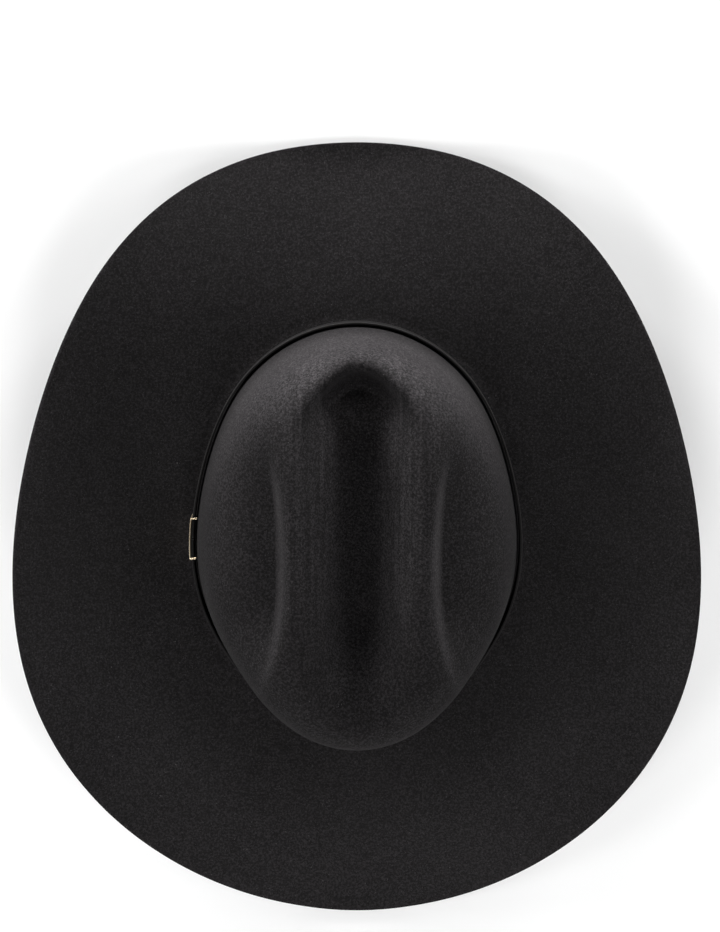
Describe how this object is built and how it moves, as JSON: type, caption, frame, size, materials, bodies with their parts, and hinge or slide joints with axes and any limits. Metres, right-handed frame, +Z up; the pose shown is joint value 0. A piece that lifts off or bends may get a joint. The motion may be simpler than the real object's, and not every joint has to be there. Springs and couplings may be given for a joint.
{
  "type": "cowboy hat",
  "caption": "Black felt western hat with a cattleman crown, wide brim rolled up at the sides, narrow hat band with a sliding gold clip, leather sweatband and satin lining",
  "frame": {"origin": "under the middle of the hat, on the surface that the brim's front and back dips rest on", "axes": "-Y is the front of the hat, +Y the back, +X the wearer's left, +Z up"},
  "size_m": [0.364, 0.422, 0.1395],
  "materials": {
    "black_felt": "matte fur felt with a fine nap",
    "band_leather": "black, semi-matte with a paler cut edge",
    "gold_metal": "polished pale gold",
    "sweatband_leather": "smooth brown sheepskin",
    "reed_plastic": "translucent white",
    "ribbon": "black woven tape",
    "bow_ribbon": "black satin ribbon",
    "lining_satin": "silver-grey satin",
    "piping_cord": "black twisted cord",
    "tag_paper": "matte off-white, blank"
  },
  "bodies": {
    "hat": {"felt_body": "black_felt", "hatband": "band_leather", "sweatband": "sweatband_leather", "sweatband_reed": "reed_plastic", "reed_tape": "ribbon", "sweatband_seam_tape": "ribbon", "sweatband_bow": "bow_ribbon", "lining_side": "lining_satin", "lining_tip": "lining_satin", "lining_piping": "piping_cord", "size_tag": "tag_paper"},
    "clip": {"band_clip": "gold_metal"}
  },
  "joints": [
    {"name": "clip_slide", "type": "slide", "parent": "hat", "child": "clip", "axis": [-0.0265, -0.9996, 0], "range_m": [-0.0025, 0.0025]}
  ]
}
